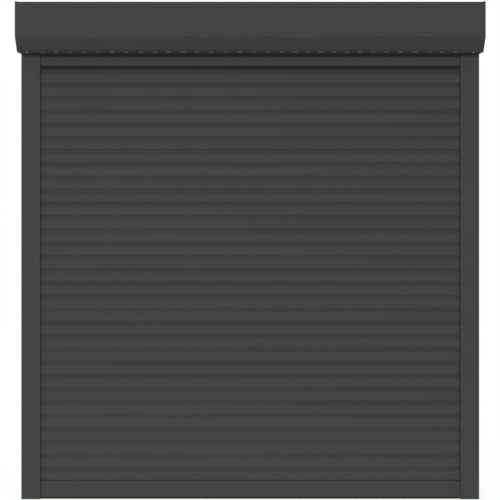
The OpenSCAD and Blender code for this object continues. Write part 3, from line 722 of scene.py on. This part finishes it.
def cover_screw_profile():
    """Threaded shank, then a pan head with a six-lobe recess."""
    core = SHANK_CORE_SHARE * SHANK
    profile = [(SHANK_TIP_SHARE * SHANK, -SHANK_LENGTH, 0.0)]
    for k in range(int((SHANK_LENGTH - THREAD_FREE) / THREAD_PITCH)):
        start = -SHANK_LENGTH + SHANK_POINT + k * THREAD_PITCH
        profile.append((core, start, 0.0))
        profile.append((SHANK, start + THREAD_PITCH / 2, 0.0))
    profile.append((core, -SHANK_NECK, 0.0))
    profile.append((HEAD_SEAT_SHARE * COVER_HEAD, -HEAD_SEAT, 0.0))
    for radius, height, lobe in HEAD_RINGS:
        profile.append((radius * COVER_HEAD, height * COVER_HEAD_HEIGHT, lobe))
    return profile


def slope_screws():
    """Bright screw at each end of the row of lugs."""
    bm = bmesh.new()
    turn, edge = nose_corners()
    along = (turn - edge).normalized()
    place = edge + along * SLOPE_SCREW_UP
    add_turned(bm, (SLOPE_SCREW_X, *place), (0, -along.y, along.x), cover_screw_profile())
    mirrored(bm)
    piece = make("slope_screws", bm, "frame", stainless)
    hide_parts("cover_screws")


def under_screws():
    """Screws under the box, with heads in the colour of the box."""
    bm = bmesh.new()
    for y in (cover_y + COVER_SCREW_INSET, slit_y - COVER_SCREW_INSET):
        add_turned(bm, (COVER_SCREW_X, y, bottom_z), (0, 0, -1), cover_screw_profile())
    mirrored(bm)
    piece = make("under_screws", bm, "frame", coat)
    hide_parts("cover_screws")


# Guide rails

def dress(name, material, edge=0.0):
    """Gives a node its finish and, where it has plain sharp edges, small round ones."""
    node = nodes[name]
    for place in node.material_slots:
        place.material = material
    if not node.material_slots:
        node.data.materials.append(material)
    if edge:
        weld = node.modifiers.new("weld", "WELD")
        weld.merge_threshold = WELD_DISTANCE
        bevel = node.modifiers.new("edges", "BEVEL")
        bevel.width = edge
        bevel.segments = BEVEL_STEPS
        bevel.limit_method = "ANGLE"
        bevel.angle_limit = BEVEL_ANGLE
        node.modifiers.new("normals", "WEIGHTED_NORMAL")


def ragged(rng, depth):
    """How far a tuft of pile stays behind the longest ones."""
    return depth * rng.random()


def add_rail_pile(bm, rng, y0, y1):
    """Strip of pile in the mouth of the +X rail, beside the slats from y0 to y1.

    Its free edge is ragged, and the end bar presses it back.
    """
    count = round(rail_high.z / BRUSH_STEP)
    rings = []
    for k in range(count + 1):
        z = rail_high.z * k / count
        out = BAR_BRUSH_OUT if z < bar_top else BRUSH_OUT
        free = mouth_x - out + ragged(rng, TUFT_RAGGED)
        front, back = y0 + ragged(rng, TUFT_SIDE_RAGGED), y1 - ragged(rng, TUFT_SIDE_RAGGED)
        rings.append([
            (mouth_x, front, z), (free + RAIL_TUFT_TIP, front, z), (free, front + TUFT_TAPER, z),
            (free, back - TUFT_TAPER, z), (free + RAIL_TUFT_TIP, back, z), (mouth_x, back, z),
        ])
    add_loft(bm, rings)


def add_slit_pile(bm, rng):
    """Strip of pile that hangs beside the curtain where it leaves the box."""
    count = round(2 * brush_end / BRUSH_STEP)
    top_z = brush_high.z
    front, back = slit_y, slit_y + SLIT_BRUSH
    rings = []
    for k in range(count + 1):
        x = -brush_end + 2 * brush_end * k / count
        free = bottom_z - SLIT_BRUSH_OUT + ragged(rng, TUFT_RAGGED)
        rings.append([
            (x, front, top_z), (x, front, free + SLIT_TUFT_TIP), (x, front + TUFT_TAPER, free),
            (x, back - TUFT_TAPER, free), (x, back, free + SLIT_TUFT_TIP), (x, back, top_z),
        ])
    add_loft(bm, rings)


def brush_seals():
    """Pile at both sides of the curtain in the rails, on tongues in their slots, and pile in the slit."""
    rng = random.Random(BRUSH_SEED)
    half = CHANNEL_WIDTH / 2
    slots = [(rail_low.y + channel_y - half) / 2, (rail_high.y + channel_y + half) / 2]
    strips = [(rail_low.y + BRUSH_SETBACK, slat_low.y - RUN_GAP),
              (slat_high.y + RUN_GAP, rail_high.y - BRUSH_SETBACK)]
    bm = bmesh.new()
    for slot, (y0, y1) in zip(slots, strips):
        add_rail_pile(bm, rng, y0, y1)
        tongue = [(slot - BRUSH_TONGUE, rail_low.z), (slot + BRUSH_TONGUE, rail_low.z),
                  (slot + BRUSH_TONGUE, rail_high.z), (slot - BRUSH_TONGUE, rail_high.z)]
        add_prism(bm, tongue, mouth_x - BRUSH_OUT / 2, brush_high.x)
    mirrored(bm)
    add_slit_pile(bm, rng)
    piece = make("pile_seals", bm, "frame", pile, sharp=PILE_SHARP)
    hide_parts("guide_brush_seals")


# Curtain

def slat_corners(thick):
    """Profile of a slat as (depth from the face, height over the lip, radius)."""
    pocket = hook_height + RUN_GAP
    shoulder = slat_pitch - SHOULDER_GAP
    return [
        (0.0, 0.0, SLAT_EDGE), (0.0, SLAT_BEND, SLAT_BEND_RADIUS), (TURN_SETBACK, TURN_HEIGHT, TURN_RADIUS),
        (SHOULDER_SETBACK, shoulder, SLAT_EDGE), (SLAT_SETBACK, shoulder, SLAT_EDGE),
        (SLAT_SETBACK, slat_pitch + BARE_NECK, 0.0),
    ] + hook_corners(slat_pitch, thick) + [
        (thick, 0.0, SLAT_BACK_EDGE), (thick - SLAT_WALL, 0.0, SLAT_EDGE),
        (thick - SLAT_WALL, pocket, SLAT_FOLD), (SLAT_WALL, pocket, SLAT_FOLD),
        (SLAT_WALL, SLAT_WALL, SLAT_EDGE), (BEAD_REACH, SLAT_WALL, SLAT_EDGE), (BEAD_REACH, 0.0, SLAT_EDGE),
    ]


def hook_corners(shoulder, thick):
    """Four corners of the hook over a shoulder's height, then two where its back falls to the rear wall."""
    top = shoulder + hook_height
    return [
        (SLAT_SETBACK, top - SLAT_WALL, NECK_FOLD), (HOOK_TIP, top - SLAT_WALL, SLAT_EDGE),
        (HOOK_TIP, top, SLAT_EDGE), (SLAT_SETBACK + SLAT_WALL, top, HOOK_FOLD),
        (SLAT_SETBACK + SLAT_WALL, shoulder, SLAT_FOLD), (thick, shoulder - BACK_DROP, BACK_DROP_FOLD),
    ]


def slats():
    """Slats with an enamelled face and a hook in a dark tone that paints the shade of the joints, which fold
    as the curtain is drawn in.
    """
    for name in SLAT_NAMES:
        low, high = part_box(name)
        outline = rounded(slat_corners(high.y - low.y), steps=8)
        bm = bmesh.new()
        add_prism(bm, [(low.y + u, low.z + v) for u, v in outline], low.x, high.x)
        piece_name = name.replace("slat", "curtain_slat")
        piece = make(piece_name, bm, name, enamel, sharp=CURTAIN_SHARP)
        # The second material is the dark hook tone, painted shade; faces above the neck's lowest strip take
        # it
        piece.data.materials.append(painted_shade)
        bare_z = low.z + slat_pitch + BARE_NECK
        for face in piece.data.polygons:
            is_end = abs(face.normal.x) > 0.5
            face.material_index = 1 if face.center.z > bare_z and not is_end else 0
        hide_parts(name)
        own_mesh(piece)


def end_bar():
    """Bar, and the hook on it that folds with the slats when the curtain is drawn into the box."""
    low, high = bar_low, bar_high
    thick = high.y - low.y
    height = high.z - low.z - hook_height
    groove = height - BAR_GROOVE_DROP
    line = height - BAR_LINE
    root = height - HOOK_ROOT
    hook = hook_corners(height, thick)
    profile = [
        (0.0, 0.0, BAR_EDGE), (0.0, groove - BAR_GROOVE / 2, BAR_EDGE), (BAR_GROOVE / 2, groove, BAR_EDGE),
        (0.0, groove + BAR_GROOVE / 2, BAR_EDGE), (0.0, line, SLAT_EDGE),
        (SLAT_SETBACK, line + BAR_LINE_RISE, NECK_FOLD), (SLAT_SETBACK, height, 0.0),
    ] + hook[4:] + [(thick, 0.0, BAR_BACK_EDGE)]
    folding = [(SLAT_SETBACK, root, 0.0)] + hook[:4] + [(hook[4][0], root, 0.0)]
    pieces = []
    # The hook takes the dark hook tone, painted shade in the joint above the bar
    for name, corners, material in (("bottom_rail", profile, coat), ("bottom_rail_hook", folding, painted_shade)):
        bm = bmesh.new()
        add_prism(bm, [(low.y + u, low.z + v) for u, v in rounded(corners, steps=4)], low.x, high.x)
        pieces.append(make(name, bm, "bottom_bar", material, sharp=CURTAIN_SHARP))
        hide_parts("end_bar")
    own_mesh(pieces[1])


def bar_seal():
    """Rubber strip under the end bar."""
    foot = rounded([
        (seal_low.y, bar_low.z, 0.0), (seal_low.y, seal_low.z, SEAL_EDGE),
        (seal_high.y, seal_low.z, SEAL_EDGE), (seal_high.y, bar_low.z, 0.0),
    ])
    bm = bmesh.new()
    add_prism(bm, foot, seal_low.x - SEAL_REACH, seal_high.x + SEAL_REACH)
    piece = make("rubber_seal", bm, "bottom_bar", rubber)
    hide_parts("end_bar_seal")


def hanger_straps():
    """Bands that leave the shaft's upper wall-side flat, bend down and grip the first slat's hook."""
    shaft_height = shaft_high.z - shaft_low.z
    flat = Vector((shaft_axis.y, shaft_axis.z)) + slope_in * shaft_height / 2
    grip = flat + slope_up * STRAP_GRIP * shaft_height
    strap_y = slat_low.y + HOOK_TIP - RUN_GAP - STRAP
    bend_z = flat.y + flat.x - strap_y
    outer_bend_z = bend_z + STRAP * math.sqrt(2) - STRAP
    foot_z = slat_high.z - SLAT_WALL - RUN_GAP - STRAP
    neck_y = slat_low.y + SLAT_SETBACK - RUN_GAP
    outline = rounded([
        (*grip, CUT_EDGE), (*(grip + STRAP * slope_in), CUT_EDGE),
        (strap_y + STRAP, outer_bend_z, STRAP_BEND + STRAP), (strap_y + STRAP, foot_z + STRAP, CUT_EDGE),
        (neck_y, foot_z + STRAP, CUT_EDGE), (neck_y, foot_z, CUT_EDGE),
        (strap_y, foot_z, STRAP_FOOT_FOLD), (strap_y, bend_z, STRAP_BEND),
    ], steps=10)
    span = (slat_high.x - slat_low.x) / STRAP_COUNT
    bm = bmesh.new()
    for i in range(STRAP_COUNT):
        x = (i - (STRAP_COUNT - 1) / 2) * span
        add_prism(bm, outline, x - STRAP_WIDTH / 2, x + STRAP_WIDTH / 2)
    piece = make("strap_bands", bm, "roller", spring)
    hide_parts("hanger_straps")
    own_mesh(piece)


# Camera, light and stage

LENS = 104.05
SENSOR = 36.0
CAMERA_PLACE = (-0.0007, -4.0565, 0.7073)
WORLD_STRENGTH = 0.385
SEEN_STRENGTH = 1.0
FLOOR_HALF = 9.0
FLOOR_TONE = 0.82
FLOOR_ROUGHNESS = 0.9
FLOOR_GLOW = 0.62


def sun(name, energy, angle, elevation, azimuth):
    """Sun at an elevation and at an azimuth counted from the outdoor side, in degrees."""
    lamp = bpy.data.objects.new(name, bpy.data.lights.new(name, "SUN"))
    lamp.data.energy = energy
    lamp.data.angle = math.radians(angle)
    lamp.rotation_euler = (math.radians(90 - elevation), 0, math.radians(azimuth))
    bpy.context.scene.collection.objects.link(lamp)


def area(name, power, place, width, height, tilt):
    """Area lamp that shines down at a tilt of 0, towards the wall at 90 and up at 180 degrees."""
    lamp = bpy.data.objects.new(name, bpy.data.lights.new(name, "AREA"))
    lamp.data.shape = "RECTANGLE"
    lamp.data.size = width
    lamp.data.size_y = height
    lamp.data.energy = power
    lamp.location = place
    lamp.rotation_euler = (math.radians(tilt), 0, 0)
    lamp.visible_camera = False
    lamp.visible_glossy = False
    bpy.context.scene.collection.objects.link(lamp)


def set_camera():
    """Level camera in front of the shutter."""
    scene = bpy.context.scene
    scene.view_settings.view_transform = "Standard"
    camera = bpy.data.objects.new("camera", bpy.data.cameras.new("camera"))
    camera.data.lens = LENS
    camera.data.sensor_width = SENSOR
    camera.location = CAMERA_PLACE
    camera.rotation_euler = (math.radians(90), 0, 0)
    scene.collection.objects.link(camera)
    scene.camera = camera


def set_lamps():
    """Level light from the front, a fill from behind, and a card on the floor that shines up."""
    sun("key", energy=1.02, angle=4.0, elevation=1.0, azimuth=0.0)
    sun("back_fill", energy=0.5, angle=20.0, elevation=30.0, azimuth=180.0)
    area("softbox", power=208.0, place=(-1.5, -7.0, 0.75), width=3.0, height=1.5, tilt=90.0)
    area("floor_card", power=0.7, place=(0, -0.125, 0.004), width=1.4, height=0.35, tilt=180.0)


def set_world():
    """Even light from all round, seen as plain white."""
    world = bpy.data.worlds.new("studio")
    bpy.context.scene.world = world
    world.use_nodes = True
    tree = world.node_tree
    seen = white_where_seen(tree)
    plain = tree.nodes["Background"]
    white = tree.nodes.new("ShaderNodeBackground")
    for background, strength in ((plain, WORLD_STRENGTH), (white, SEEN_STRENGTH)):
        background.inputs["Color"].default_value = (1, 1, 1, 1)
        background.inputs["Strength"].default_value = strength
    mix = tree.nodes.new("ShaderNodeMixShader")
    tree.links.new(seen, mix.inputs["Fac"])
    tree.links.new(plain.outputs["Background"], mix.inputs[1])
    tree.links.new(white.outputs["Background"], mix.inputs[2])
    tree.links.new(mix.outputs["Shader"], tree.nodes["World Output"].inputs["Surface"])


def white_where_seen(tree):
    """1 for rays that come from the camera, a reflection or a refraction, and 0 for the others."""
    path = tree.nodes.new("ShaderNodeLightPath")
    seen = path.outputs["Is Camera Ray"]
    for name in ("Is Glossy Ray", "Is Transmission Ray"):
        either = tree.nodes.new("ShaderNodeMath")
        either.operation = "MAXIMUM"
        tree.links.new(seen, either.inputs[0])
        tree.links.new(path.outputs[name], either.inputs[1])
        seen = either.outputs["Value"]
    return seen


def floor():
    """Pale floor that keeps the shadow and looks white where it is lit."""
    bm = bmesh.new()
    bmesh.ops.create_grid(bm, x_segments=1, y_segments=1, size=FLOOR_HALF)
    mesh = bpy.data.meshes.new("floor")
    bm.to_mesh(mesh)
    bm.free()
    piece = bpy.data.objects.new("floor", mesh)
    bpy.context.scene.collection.objects.link(piece)
    material, tree, shader = blank("studio_floor", FLOOR_ROUGHNESS, specular=0.0)
    shader.inputs["Base Color"].default_value = (FLOOR_TONE, FLOOR_TONE, FLOOR_TONE, 1)
    glow = tree.nodes.new("ShaderNodeEmission")
    glow.inputs["Strength"].default_value = FLOOR_GLOW
    lit = tree.nodes.new("ShaderNodeAddShader")
    mix = tree.nodes.new("ShaderNodeMixShader")
    tree.links.new(shader.outputs["BSDF"], lit.inputs[0])
    tree.links.new(glow.outputs["Emission"], lit.inputs[1])
    tree.links.new(white_where_seen(tree), mix.inputs["Fac"])
    tree.links.new(shader.outputs["BSDF"], mix.inputs[1])
    tree.links.new(lit.outputs["Shader"], mix.inputs[2])
    tree.links.new(mix.outputs["Shader"], tree.nodes["Material Output"].inputs["Surface"])
    mesh.materials.append(material)


set_camera()
set_lamps()
set_world()
floor()
top_panel()
front_panel()
front_lugs()
inspection_cover()
back_panel()
for side, name in ((-1, "left"), (1, "right")):
    cap_plate(side, name)
    cap_inside(side, name)
    dress(f"guide_rail_{name}", coat, RAIL_EDGE)
slope_screws()
under_screws()
brush_seals()
slats()
end_bar()
bar_seal()
hanger_straps()
dress("guide_foot_plugs", plastic, FOOT_PLUG_EDGE)
dress("end_bar_plugs", plastic, BAR_PLUG_EDGE)
dress("cable_gland", rubber)
for name in ("frame_screws", "motor_bracket", "bearing_bracket", "roller_shaft"):
    dress(name, zinc)
for name in ("bearing_outer_ring", "bearing_balls", "bearing_inner_ring"):
    dress(name, bearing)
for name in ("motor_head", "drive_wheel", "crown_ring", "idler_cap"):
    dress(name, plastic)
dress("motor_tube", casing)
